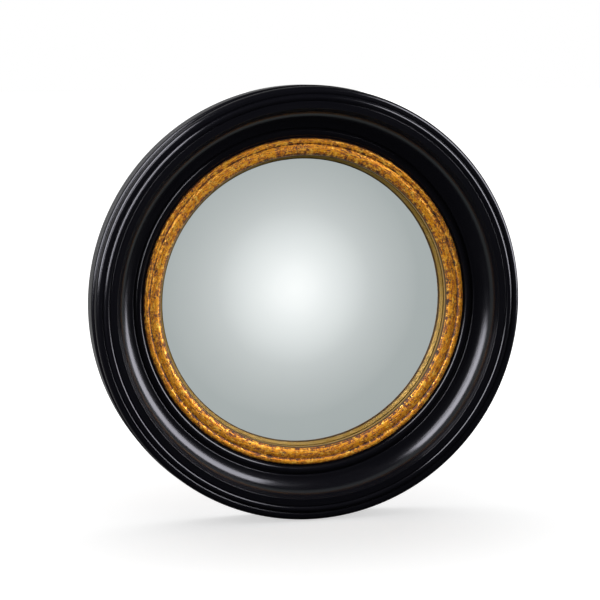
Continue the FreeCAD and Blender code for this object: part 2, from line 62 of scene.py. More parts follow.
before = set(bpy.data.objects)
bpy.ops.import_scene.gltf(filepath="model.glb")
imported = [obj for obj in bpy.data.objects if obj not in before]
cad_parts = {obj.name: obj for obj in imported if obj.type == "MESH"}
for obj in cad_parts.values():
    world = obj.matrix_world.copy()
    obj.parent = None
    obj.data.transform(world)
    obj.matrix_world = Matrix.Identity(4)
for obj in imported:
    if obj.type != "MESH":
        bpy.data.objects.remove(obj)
CAD_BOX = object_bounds()

MM = 0.001
OUTWARD = Vector((0.0, 1.0, 0.0))
FRAME_RADIUS = CAD_BOX[1].x
FRAME_DEPTH = -CAD_BOX[0].y
SLIP_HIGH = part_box("gilt_slip")[1]
SLIP_RADIUS = SLIP_HIGH.x
SLIP_BACK = -SLIP_HIGH.y
GLASS_LOW, GLASS_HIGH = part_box("convex_glass")
GLASS_RADIUS = GLASS_HIGH.x
GLASS_APEX = -GLASS_LOW.y
GLASS_RIM_DEPTH = -GLASS_HIGH.y
BOARD_LOW, BOARD_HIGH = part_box("backing_board")
TRAY_DEPTH = -BOARD_HIGH.y
GLUE_LINE = -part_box("front_moulding")[1].y
CARCASS_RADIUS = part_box("back_ring")[1].x
LACQUER = "Satin black lacquer on turned wood"
ZINC = "Bright zinc plated steel, stamped"


# ------------------------------------------------------------------ properties
def length(name, millimetres, description):
    """A length that a user may change, with its default in millimetres."""
    return FloatProperty(
        name=name, description=description, default=millimetres * MM, min=0.0,
        precision=5, subtype="DISTANCE", unit="LENGTH",
    )


def turn_of(name, degrees, description):
    """An angle that a user may change, with its default in degrees."""
    return FloatProperty(
        name=name, description=description, default=math.radians(degrees),
        precision=3, subtype="ANGLE", unit="ROTATION",
    )


def linear(code):
    """An sRGB hex colour such as 1a2b3c as linear red, green and blue."""
    channels = [int(code[i:i + 2], 16) / 255 for i in (0, 2, 4)]
    return tuple(c / 12.92 if c <= 0.04045 else ((c + 0.055) / 1.055) ** 2.4 for c in channels)


def colour(name, code, description):
    """A colour that a user may change, with its default as an sRGB hex value."""
    return FloatVectorProperty(
        name=name, description=description, default=linear(code), size=3,
        min=0.0, max=1.0, subtype="COLOR",
    )


class MouldingSizes(bpy.types.PropertyGroup):
    """Widths and radii of the black face moulding and of the carcass."""

    side_bead_radius: length("Side bead radius", 3.5, "Bead round the side of the frame")
    side_bead_depth: length("Side bead depth", 29.5, "Where the side bead stands, from the wall")
    scotia_inset: length("Scotia inset", 3.2, "How far the hollow of the side lies in")
    scotia_sagitta: length("Scotia sagitta", 1.8, "How deep the hollow of the side is")
    nose_setback: length("Nose setback", 1.2, "How far the nose lies inside the side bead")
    nose_radius: length("Nose radius", 5.2, "Round of the outer front edge")
    nose_side: length("Nose side", 1.8, "Flat below the nose")
    land_drop: length("Land drop", 1.5, "How far the flat lands lie behind the front bead")
    outer_land: length("Outer land", 2.2, "Flat between the nose and the outer quirk")
    quirk_width: length("Quirk width", 1.5, "Width of a quirk beside the front bead")
    quirk_drop: length("Quirk drop", 1.3, "Depth of the quirks beside the front bead")
    bead_radius: length("Front bead radius", 4.0, "Bead on the front of the frame")
    bead_inset: length("Front bead inset", 14.6, "From the rim to the crest of the front bead")
    inner_land: length("Inner land", 7.8, "Flat between the front bead and the cove")
    arris_round: length("Arris round", 0.7, "Round where the land turns into the cove")
    lip_depth: length("Lip depth", 29.2, "Where the foot of the cove stands, from the wall")
    lip_width: length("Lip width", 1.2, "Small lip at the foot of the cove")
    foot_quirk: length("Foot quirk", 1.1, "Groove between the lip and the astragal")
    astragal_radius: length("Astragal radius", 5.5, "Half round beside the gilt slip")
    astragal_rise: length("Astragal rise", 3.2, "How far the astragal stands up")
    rim_land: length("Rim land", 1.4, "Flat between the astragal and the slip")
    rim_depth: length("Rim depth", 26.3, "Where that flat lies, from the wall")
    rebate_rise: length("Rebate rise", 3.3, "Height of the rebate over the slip's tongue")
    wood_gap: length("Wood gap", 0.3, "Clearance between turned pieces")
    back_arris: length("Back arris", 1.0, "Chamfer of the back edge")
    tray_wall: length("Tray wall", 17.0, "Thickness of the wall round the back tray")
    worn_arris: length("Worn arris", 0.35, "How far each sharp edge is rubbed round")
    moulding_screws: IntProperty(
        name="Moulding screws", description="Countersunk screws round the tray", default=8, min=1,
    )
    screw_inset: length("Screw inset", 8.0, "From the tray's wall to the moulding screws")


class SlipSizes(bpy.types.PropertyGroup):
    """Widths and radii of the gilt slip."""

    face: length("Face", 21.7, "Visible width of the slip")
    tongue_top: length("Tongue top", 23.0, "Where the tongue's top lies, from the wall")
    edge_depth: length("Edge depth", 26.2, "Where the outer edge lies, from the wall")
    outer_roll_width: length("Outer roll width", 7.3, "Width of the outer roll")
    outer_roll_radius: length("Outer roll radius", 4.0, "Radius of the outer roll")
    valley_depth: length("Valley depth", 27.3, "Where the valley's outer lip lies, from the wall")
    valley_width: length("Valley width", 0.7, "Width of the step between the rolls")
    valley_drop: length("Valley drop", 0.9, "Height of the step between the rolls")
    inner_roll_radius: length("Inner roll radius", 9.0, "Radius of the inner roll")
    sight_wall: length("Sight wall", 7.5, "Upright wall beside the glass")
    tongue: length("Tongue", 4.8, "Width of the tongue under the moulding")
    gesso_relief: length("Gesso relief", 0.16, "Unevenness of the gesso under the leaf")
    gesso_grain: length("Gesso grain", 7.0, "Size of that unevenness")


class HardwareSizes(bpy.types.PropertyGroup):
    """Sizes of the glass, and of the screws and fittings behind the mirror."""

    glass_thickness: length("Glass thickness", 3.0, "Thickness of the dished glass")
    pan_radius: length("Pan head radius", 3.4, "Head of the small screws")
    pan_height: length("Pan head height", 1.6, "Height of the small heads")
    shank_radius: length("Shank radius", 1.75, "Shank of the small screws")
    countersunk_radius: length("Countersunk radius", 3.8, "Head of the long screws")
    countersunk_height: length("Countersunk height", 2.2, "Height of the long screws' heads")
    countersink_gap: length("Countersink gap", 0.25, "How far a long screw's head lies sunk")
    recess_width: length("Recess width", 0.75, "Width of a cross recess")
    recess_reach: length("Recess reach", 1.9, "Half length of a cross recess")
    recess_depth: length("Recess depth", 1.1, "Depth of a cross recess")
    recess_taper: FloatProperty(
        name="Recess taper", description="Size of a recess at its bottom, as a share of its top",
        default=0.55, min=0.1, max=1.0, subtype="FACTOR",
    )
    wire_radius: length("Wire radius", 1.15, "Wire of the hanging ring")
    ring_corner: length("Ring corner", 2.5, "Inner bend of the hanging ring")
    eased_edge: length("Eased edge", 0.12, "Round of a stamped steel edge")


class FinishColours(bpy.types.PropertyGroup):
    """Colours of the finishes."""

    lacquer: colour("Lacquer", "09090c", "Black lacquer on the frame")
    lacquer_back: colour("Back paint", "121213", "Thin black paint on the back")
    leaf: colour("Leaf", "f0a21c", "Metal leaf where it is whole")
    leaf_deep: colour("Deep leaf", "bf690c", "Metal leaf where it is thin")
    leaf_bright: colour("Bright leaf", "ffce56", "Metal leaf where it is burnished")
    bole: colour("Bole", "5c2806", "Red brown clay under the leaf")
    dark_ground: colour("Dark ground", "120b05", "Near black ground where all is worn off")
    # painted shade: the wall beside the glass is coloured a dull olive that stands in for its shade and
    # the green cast of its reflection in the glass
    sight_wall: colour("Sight wall", "a88c46", "Dull olive painted shade on the wall beside the glass")
    # painted shadow: a brown line along the top of the wall beside the glass
    painted_shadow_line: colour("Painted shadow line", "38220d", "Brown painted shadow line along the top of that wall")
    silver: colour("Silvering", "ecefee", "Silvering seen through the glass")
    hardboard: colour("Hardboard", "815735", "Tempered hardboard, its pale fibres")
    card: colour("Card", "a08c6c", "Grey brown card")
    felt: colour("Felt", "1b1a19", "Black felt")
    zinc: colour("Zinc", "b9bbb8", "Bright zinc plate")
    brass: colour("Brass plate", "c49a4a", "Brass plate on steel")


class StageSettings(bpy.types.PropertyGroup):
    """Camera, lamps and surroundings."""

    camera_yaw: turn_of("Camera yaw", 14.0, "How far left of the mirror's axis the camera stands")
    camera_pitch: turn_of("Camera pitch", 7.0, "How far above the axis the camera stands")
    camera_distance: FloatProperty(
        name="Camera distance", description="From the camera to the mirror's back",
        default=2.65, min=0.5, subtype="DISTANCE", unit="LENGTH",
    )
    camera_lens: FloatProperty(
        name="Camera lens", description="Focal length for a 36 mm sensor", default=129.0, min=10.0,
    )
    glow_yaw: turn_of("Glow yaw", 10.1, "Where the bright card in front stands, to the right")
    glow_pitch: turn_of("Glow pitch", -2.6, "Where the bright card in front stands, upwards")
    ambient: FloatProperty(
        name="Ambient", description="Even light from all round", default=0.34, min=0.0,
    )


# ------------------------------------------------------------------ outlines and meshes
# a radius that counts as the axis itself, and a distance at which two corners are one
POLE = 1e-7
SAME_POINT = 1e-6
# turns above which an edge looks sharp, below which two edges run straight on, and that a
# stamped edge has to have to be eased
SMOOTH_LIMIT = math.radians(32)
STRAIGHT_ON = math.radians(8)
STAMPED_EDGE = math.radians(50)
STAMPED_SMOOTH = math.radians(20)
WIRE_SMOOTH = math.radians(60)
WIRE_SIDES = 20
# shares of an edge: the most that a rubbed corner takes, and the most that a held end takes
MOST_TRIMMED = 0.3
MOST_HELD = 0.4


def along(points, distance):
    """The point at a distance along a line of points, and the index of the next one."""
    for index in range(1, len(points)):
        step = abs(points[index] - points[index - 1])
        if distance <= step:
            share = distance / step if step else 0.0
            return points[index - 1] + (points[index] - points[index - 1]) * share, index
        distance -= step
    return points[-1], len(points) - 1


def trimmed(points, cut):
    """A line of points without its first and last stretch."""
    total = sum(abs(b - a) for a, b in zip(points, points[1:]))
    cut = min(cut, total * MOST_TRIMMED)
    first, start = along(points, cut)
    last, stop = along(points, total - cut)
    return [first, *points[start:stop], last]


def section(outline, step, ease):
    """Points of an outline, with its arcs drawn and its corners rubbed round.

    Each entry is (radius, depth), or (radius, depth, arc radius, bulge) when the edge that
    leaves it is an arc: bulge is 1 when it swells to the left of the way and -1 to the right,
    with radius to the right and the front of the mirror down."""
    corners = [complex(entry[0], -entry[1]) for entry in outline]
    edges = []
    for index, start in enumerate(corners):
        end = corners[(index + 1) % len(corners)]
        chord = end - start
        if len(outline[index]) == 2:
            near = min(3 * ease, abs(chord) * MOST_HELD)
            unit = chord / abs(chord)
            edges.append([start, start + unit * near, end - unit * near, end])
            continue
        radius, bulge = outline[index][2:]
        rise = math.sqrt(max(radius ** 2 - abs(chord) ** 2 / 4, 0.0))
        centre = (start + end) / 2 - chord * 1j / abs(chord) * bulge * rise
        first, last = cmath.phase(start - centre), cmath.phase(end - centre)
        sweep = (last - first) % math.tau if bulge < 0 else -((first - last) % math.tau)
        steps = max(3, math.ceil(abs(sweep) * radius / step))
        edges.append([centre + cmath.rect(radius, first + sweep * i / steps) for i in range(steps + 1)])
    kept = [trimmed(edge, ease) for edge in edges]
    points = []
    for index, edge in enumerate(kept):
        before = kept[index - 1]
        tip = corners[index]
        turning = abs(cmath.phase((edge[1] - edge[0]) / (before[-1] - before[-2])))
        if turning > STRAIGHT_ON:
            for t in (0.2, 0.4, 0.6, 0.8):
                points.append(before[-1] * (1 - t) ** 2 + tip * 2 * t * (1 - t) + edge[0] * t * t)
        points.extend(edge)
    return [(p.real, -p.imag) for p in points]


def lathe(points, steps, closed=True):
    """Corners and faces of a line of section points turned about the mirror's axis."""
    angles = [math.tau * i / steps for i in range(steps)]
    corners, rings = [], []
    for radius, depth in points:
        if radius < POLE:
            rings.append([len(corners)])
            corners.append((0.0, -depth, 0.0))
            continue
        rings.append(range(len(corners), len(corners) + steps))
        corners.extend((radius * math.cos(a), -depth, radius * math.sin(a)) for a in angles)
    followers = rings[1:] + rings[:1] if closed else rings[1:]
    faces = []
    for lower, upper in zip(rings, followers):
        for i in range(steps):
            j = (i + 1) % steps
            around = ((lower, i), (lower, j), (upper, j), (upper, i))
            face = tuple(dict.fromkeys(ring[place % len(ring)] for ring, place in around))
            if len(face) > 2:
                faces.append(face)
    return corners, faces


def new_piece(name, corners, faces, material, smooth=SMOOTH_LIMIT):
    """A mesh object with outward faces, smooth where it bends gently."""
    mesh = bpy.data.meshes.new(name)
    mesh.from_pydata(corners, [], faces)
    work = bmesh.new()
    work.from_mesh(mesh)
    bmesh.ops.recalc_face_normals(work, faces=work.faces)
    work.to_mesh(mesh)
    work.free()
    finish_mesh(mesh, smooth)
    mesh.materials.append(material)
    return show(name, mesh)


def show(name, content):
    """A new object of the scene with a mesh, a lamp or a camera in it."""
    thing = bpy.data.objects.new(name, content)
    bpy.context.scene.collection.objects.link(thing)
    return thing


def finish_mesh(mesh, smooth=SMOOTH_LIMIT):
    """Shades a mesh smooth, with sharp edges where it turns by more than a limit."""
    mesh.polygons.foreach_set("use_smooth", [True] * len(mesh.polygons))
    mesh.set_sharp_from_angle(angle=smooth)
    mesh.update()


def settle(piece, smooth=SMOOTH_LIMIT):
    """Applies a piece's modifiers to its mesh."""
    graph = bpy.context.evaluated_depsgraph_get()
    mesh = bpy.data.meshes.new_from_object(piece.evaluated_get(graph))
    piece.modifiers.clear()
    piece.data = mesh
    finish_mesh(mesh, smooth)


def cut(piece, cutter):
    """Cuts one mesh out of another and deletes the cutter."""
    knife = piece.modifiers.new("Cut", "BOOLEAN")
    knife.operation = "DIFFERENCE"
    knife.solver = "EXACT"
    knife.object = cutter
    settle(piece)
    bpy.data.objects.remove(cutter)


def mount(piece, body, slot, *nodes):
    """Puts a piece on a CAD body in place of the nodes that it stands for."""
    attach(piece, body)
    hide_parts(*nodes)


def dress(node, material):
    """Gives a CAD node that stays in view its finish."""
    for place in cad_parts[node].material_slots:
        place.material = material


def spread(count, radius, start=0.0):
    """Points spaced evenly round the mirror's axis."""
    turns = (start + math.tau * index / count for index in range(count))
    return [Vector((radius * math.cos(turn), 0.0, radius * math.sin(turn))) for turn in turns]


# ------------------------------------------------------------------ materials
COORDINATES = "ShaderNodeTexCoord"
SPLIT = "ShaderNodeSeparateXYZ"
JOIN = "ShaderNodeCombineXYZ"
MATH = "ShaderNodeMath"
VECTOR_MATH = "ShaderNodeVectorMath"
NOISE = "ShaderNodeTexNoise"
RANGE = "ShaderNodeMapRange"
MIX = "ShaderNodeMix"
BUMP = "ShaderNodeBump"


def give(tree, node, inputs):
    """Gives a node's inputs, by name or in order, their values and links.

    A node among the values stands for its first live output."""
    for name, value in inputs.items() if isinstance(inputs, dict) else enumerate(inputs):
        if isinstance(value, bpy.types.Node):
            value = next(socket for socket in value.outputs if socket.enabled)
        if isinstance(value, bpy.types.NodeSocket):
            tree.links.new(value, node.inputs[name])
        else:
            node.inputs[name].default_value = value


def add(tree, kind, inputs=(), **settings):
    """Adds a node with its settings, values and links."""
    node = tree.nodes.new(kind)
    for name, value in settings.items():
        setattr(node, name, value)
    give(tree, node, inputs)
    return node


def new_material(name, **sockets):
    """A material with one Principled shader whose plain sockets are set by keyword.

    Comes with its node tree, its shader and the surface point in metres."""
    material = bpy.data.materials.new(name)
    material.use_nodes = True
    tree = material.node_tree
    shader = tree.nodes["Principled BSDF"]
    give(tree, shader, {key.replace("_", " "): value for key, value in sockets.items()})
    return material, tree, shader, add(tree, COORDINATES).outputs["Object"]


def opaque(tone):
    """A colour with its alpha."""
    return (*tone, 1.0)


def per_metre(millimetres):
    """Noise scale for a feature of a real size, with positions in metres."""
    return 1.0 / (millimetres * MM)


def round_position(tree, grain_along, grain_across):
    """Position that follows the turning: features are long round the axis and short across.

    Both sizes are in millimetres. Going round a small circle in noise space leaves no seam."""
    parts = add(tree, SPLIT, (add(tree, COORDINATES).outputs["Object"],))
    flat = add(tree, JOIN, {"X": parts.outputs["X"], "Z": parts.outputs["Z"]})
    radius = add(tree, VECTOR_MATH, (flat,), operation="LENGTH")
    unit = add(tree, VECTOR_MATH, (flat,), operation="NORMALIZE")
    turns = SLIP_RADIUS / (grain_along * MM)
    circle = add(tree, VECTOR_MATH, {0: unit, "Scale": turns}, operation="SCALE")
    across = add(tree, MATH, (radius, parts.outputs["Y"]), operation="ADD")
    rise = add(tree, MATH, (across, per_metre(grain_across)), operation="MULTIPLY")
    place = add(tree, VECTOR_MATH, (circle, add(tree, JOIN, {"Y": rise})), operation="ADD")
    return place, radius, parts.outputs["Y"]


def dress_surface(tree, shader, tone=None, rough=None, relief=None):
    """Lets patterns set a shader's colour, roughness and relief.

    tone is (share, first colour, second colour), rough is (pattern, its lowest and highest
    value, the roughness at each) and relief is (pattern, strength, millimetres)."""
    links = {}
    if tone:
        share, first, second = tone
        sides = {0: share, 6: opaque(first), 7: opaque(second)}
        links["Base Color"] = add(tree, MIX, sides, data_type="RGBA")
    if rough:
        links["Roughness"] = add(tree, RANGE, rough)
    if relief:
        height, strength, distance = relief
        links["Normal"] = add(tree, BUMP, {
            "Height": height, "Strength": strength, "Distance": distance * MM,
        })
    give(tree, shader, links)


def black_lacquer(finish):
    """Black lacquer sprayed on turned wood and rubbed down: a deep satin black whose
    highlights are soft-edged and waver a little along the turning."""
    material, tree, shader, place = new_material(
        LACQUER, Base_Color=opaque(finish.lacquer), Metallic=0.0, IOR=1.5, Specular_IOR_Level=0.5,
    )
    streak, _, _ = round_position(tree, grain_along=60.0, grain_across=2.5)
    rub = add(tree, NOISE, {"Vector": streak, "Scale": 1.0, "Detail": 3.0})
    peel = add(tree, NOISE, {"Vector": place, "Scale": per_metre(9.0), "Detail": 2.0})
    dress_surface(tree, shader, rough=(rub, 0.3, 0.7, 0.15, 0.23), relief=(peel, 0.25, 0.12))
    return material


def brushed_black_paint(finish):
    """Thin black paint brushed on the back of the wood: dull, with faint brush lines and
    paler rubs where the wood shows through."""
    material, tree, shader, _ = new_material(
        "Brushed black paint on wood", Metallic=0.0, Specular_IOR_Level=0.35,
    )
    streak, _, _ = round_position(tree, grain_along=45.0, grain_across=1.4)
    lines = add(tree, NOISE, {"Vector": streak, "Scale": 1.0, "Detail": 5.0})
    rubbed = add(tree, RANGE, (lines, 0.55, 0.85))
    dress_surface(
        tree, shader, tone=(rubbed, finish.lacquer_back, linear("3a2f26")),
        rough=(lines, 0.3, 0.7, 0.5, 0.68), relief=(lines, 0.5, 0.15),
    )
    return material


def worn_gilding(finish, slip):
    """Metal leaf laid on clay over a dark ground, then rubbed: warm gold that is thin in
    streaks along the turning, brown where the clay shows, with near black specks, a darker
    valley and a ragged outer edge. The wall beside the glass is painted a dull olive as
    painted shade, with a brown painted shadow line along its top."""
    material, tree, shader, place = new_material("Rubbed metal leaf over clay", IOR=1.5)
    streak, radius, height = round_position(tree, grain_along=9.0, grain_across=1.3)
    dash, _, _ = round_position(tree, grain_along=5.0, grain_across=2.0)
    lines = add(tree, NOISE, {"Vector": streak, "Scale": 1.0, "Detail": 5.0, "Roughness": 0.65})
    dashes = add(tree, NOISE, {"Vector": dash, "Scale": 1.0, "Detail": 4.0, "Roughness": 0.7})
    # clouds in the wear, blots of burnish and grit, by the size of one in millimetres
    patches, blots, grit = (
        add(tree, NOISE, {
            "Vector": place, "Scale": per_metre(size), "Detail": detail, "Roughness": roughness,
        })
        for size, detail, roughness in ((12.0, 4.0, 0.6), (3.8, 5.0, 0.72), (1.5, 3.0, 0.6))
    )
    mottle = add(tree, MATH, (
        add(tree, MATH, (blots, 0.55), operation="MULTIPLY"),
        add(tree, MATH, (dashes, 0.45), operation="MULTIPLY"),
    ), operation="ADD")

    edge = SLIP_RADIUS - slip.tongue
    valley = edge - slip.outer_roll_width
    sight = edge - slip.face
    darker_rings = None
    # darker rings at the outer edge, the valley and beside the sight edge: the radius, how far it
    # reaches in millimetres, how strong it is
    for centre, reach, strength in (
        (edge, 1.8, 0.20), (valley, 1.5, 0.13), (sight + 2.2 * MM, 1.1, 0.12),
    ):
        off = add(tree, MATH, (radius, centre), operation="SUBTRACT")
        away = add(tree, MATH, (off, 0.0), operation="ABSOLUTE")
        ring = add(tree, RANGE, (away, 0.0, reach * MM, strength, 0.0))
        darker_rings = add(tree, MATH, (darker_rings, ring), operation="MAXIMUM") if darker_rings else ring
    uneven = add(tree, RANGE, (patches, 0.3, 0.7, -0.05, 0.05))
    wear = add(tree, MATH, (uneven, darker_rings), operation="ADD")
    rubbed = add(tree, MATH, (mottle, wear), operation="ADD")
    clay = add(tree, RANGE, (rubbed, 0.52, 0.59, 0.0, 0.92))
    specks = add(tree, MATH, (grit, lines), operation="ADD")
    picked = add(tree, MATH, (specks, wear), operation="ADD")
    bare = add(tree, RANGE, (picked, 1.11, 1.17, 0.0, 1.0))

    inward = add(tree, MATH, (radius, sight), operation="SUBTRACT")
    arris = -SLIP_BACK - slip.sight_wall
    # painted shadow: a brown line along the top of the wall beside the glass, where a dark line of
    # shade runs
    top = add(tree, MATH, (
        add(tree, RANGE, (inward, 1.5 * MM, 0.9 * MM, 0.0, 1.0)),
        add(tree, RANGE, (height, arris + 2.6 * MM, arris + 1.4 * MM, 0.0, 0.9)),
    ), operation="MULTIPLY")
    leaf = opaque(finish.leaf)
    for share, tone in (
        (add(tree, RANGE, (lines, 0.42, 0.58, 0.0, 1.0)), finish.leaf_deep),
        (add(tree, RANGE, (mottle, 0.48, 0.41, 0.0, 0.9)), finish.leaf_bright),
        (clay, finish.bole),
        (bare, finish.dark_ground),
        # painted shade: dull olive on the wall beside the glass
        (add(tree, RANGE, (inward, 0.9 * MM, 0.4 * MM, 0.0, 0.8)), finish.sight_wall),
        (top, finish.painted_shadow_line),
    ):
        leaf = add(tree, MIX, {0: share, 6: leaf, 7: opaque(tone)}, data_type="RGBA")

    lost = add(tree, MATH, (clay, bare), operation="MAXIMUM")
    crumbs = add(tree, MATH, (grit, mottle), operation="ADD")
    crust = add(tree, MATH, (crumbs, lost), operation="SUBTRACT")
    give(tree, shader, {
        "Base Color": leaf,
        "Metallic": add(tree, RANGE, (lost, 0.0, 1.0, 0.5, 0.05)),
    })
    dress_surface(tree, shader, rough=(lost, 0.0, 1.0, 0.33, 0.6), relief=(crust, 0.7, 0.3))
    return material


def silvered_glass(finish):
    """Dished glass silvered behind: a clear mirror, a little green, with the gloss of the
    glass over it."""
    material, tree, shader, place = new_material(
        "Dished glass, silvered behind", Metallic=1.0, Coat_Weight=0.4, Coat_Roughness=0.0,
        Coat_IOR=1.5,
    )
    haze = add(tree, NOISE, {"Vector": place, "Scale": per_metre(45.0), "Detail": 2.0})
    dress_surface(
        tree, shader, tone=(haze, finish.silver, linear("e9ecec")),
        rough=(haze, 0.0, 1.0, 0.03, 0.05),
    )
    return material


def tempered_hardboard(finish):
    """Tempered hardboard from the press: smooth hard brown with pale fibres and dark flecks."""
    material, tree, shader, place = new_material("Tempered hardboard, pressed", Metallic=0.0)
    fibre = add(tree, NOISE, {
        "Vector": place, "Scale": per_metre(2.4), "Detail": 6.0, "Distortion": 2.0,
    })
    cloud = add(tree, NOISE, {"Vector": place, "Scale": per_metre(70.0), "Detail": 3.0})
    both = add(tree, MATH, (fibre, cloud), operation="MULTIPLY")
    share = add(tree, RANGE, (both, 0.12, 0.42))
    dress_surface(
        tree, shader, tone=(share, linear("4e3019"), finish.hardboard),
        rough=(fibre, 0.0, 1.0, 0.38, 0.62), relief=(fibre, 0.35, 0.12),
    )
    return material


def fibrous(name, base, pale, grain):
    """Felt or card: matt, with fibres of a real size in millimetres."""
    material, tree, shader, place = new_material(name, Metallic=0.0, Roughness=0.92)
    fibre = add(tree, NOISE, {
        "Vector": place, "Scale": per_metre(grain), "Detail": 5.0, "Distortion": 1.5,
    })
    dress_surface(tree, shader, tone=(fibre, base, pale), relief=(fibre, 0.6, 0.2))
    return material


def plated_steel(name, base, dull, grain):
    """Plated steel stamping: bright metal with a cloudy bloom and fine tumbling marks."""
    material, tree, shader, place = new_material(name, Metallic=1.0)
    bloom = add(tree, NOISE, {"Vector": place, "Scale": per_metre(grain), "Detail": 5.0})
    scuffs = add(tree, NOISE, {"Vector": place, "Scale": per_metre(0.7), "Detail": 3.0})
    dress_surface(
        tree, shader, tone=(bloom, base, dull), rough=(bloom, 0.0, 1.0, 0.22, 0.48),
        relief=(scuffs, 0.3, 0.03),
    )
    return material


# ------------------------------------------------------------------ operators
class MIRROR_OT_moulding(bpy.types.Operator):
    """Turn the black face moulding: side bead, scotia, nose, front bead, cove and astragal"""

    bl_idname = "mirror.moulding"
    bl_label = "Face moulding"

    STEPS = 256
    FINENESS = 0.6 * MM

    def execute(self, context):
        s = context.scene.mirror_moulding
        slip_bore = SLIP_RADIUS + s.wood_gap
        rim_hole = SLIP_RADIUS - context.scene.mirror_slip.tongue + s.wood_gap
        land = FRAME_DEPTH - s.land_drop
        nose = FRAME_RADIUS - s.nose_setback
        hollow = FRAME_RADIUS - s.scotia_inset
        half_side = math.sqrt(2 * s.side_bead_radius * s.scotia_inset - s.scotia_inset ** 2)
        bead_top = s.side_bead_depth + half_side
        bead_foot = s.side_bead_depth - half_side
        nose_foot = land - s.nose_radius
        scotia_top = nose_foot - 2 * s.nose_side
        chord = scotia_top - bead_top
        scotia = (chord ** 2 / 4 + s.scotia_sagitta ** 2) / (2 * s.scotia_sagitta)
        outer_arris = nose - s.nose_radius - s.outer_land
        quirk = land - s.quirk_drop
        crest = FRAME_RADIUS - s.bead_inset
        half_bead = math.sqrt(s.bead_radius ** 2 - (quirk - FRAME_DEPTH + s.bead_radius) ** 2)
        inner_arris = crest - half_bead - s.quirk_width / 2
        cove_top = inner_arris - s.inner_land
        cove_edge = cove_top - s.arris_round
        cove_edge_depth = land - s.arris_round
        half_astragal = math.sqrt(2 * s.astragal_radius * s.astragal_rise - s.astragal_rise ** 2)
        astragal_inside = rim_hole + s.rim_land
        astragal_outside = astragal_inside + 2 * half_astragal
        lip_inside = astragal_outside + s.foot_quirk
        lip = lip_inside + s.lip_width
        cove_width = cove_edge - lip
        cove_depth = cove_edge_depth - s.lip_depth
        cove = (cove_width ** 2 + cove_depth ** 2) / (2 * cove_width)
        rebate = GLUE_LINE + s.rebate_rise
        outline = [
            (slip_bore, GLUE_LINE),
            (slip_bore, rebate),
            (rim_hole, rebate),
            (rim_hole, s.rim_depth),
            (astragal_inside, s.rim_depth, s.astragal_radius, -1),
            (astragal_outside, s.rim_depth),
            (lip_inside, s.lip_depth - s.foot_quirk / 2),
            (lip, s.lip_depth, cove, 1),
            (cove_edge, cove_edge_depth, s.arris_round, -1),
            (cove_top, land),
            (inner_arris, land),
            (crest - half_bead, quirk, s.bead_radius, -1),
            (crest + half_bead, quirk),
            (outer_arris, land),
            (nose - s.nose_radius, land, s.nose_radius, -1),
            (nose, nose_foot),
            (nose, nose_foot - s.nose_side),
            (hollow, scotia_top, scotia, 1),
            (hollow, bead_top, s.side_bead_radius, -1),
            (hollow, bead_foot),
            (CARCASS_RADIUS, bead_foot),
            (CARCASS_RADIUS, GLUE_LINE),
        ]
        turned = lathe(section(outline, self.FINENESS, s.worn_arris), self.STEPS)
        lacquer = black_lacquer(context.scene.mirror_finish)
        piece = new_piece("turned_face_moulding", *turned, lacquer)
        mount(piece, "mirror", "black_lacquer", "front_moulding")
        return {"FINISHED"}


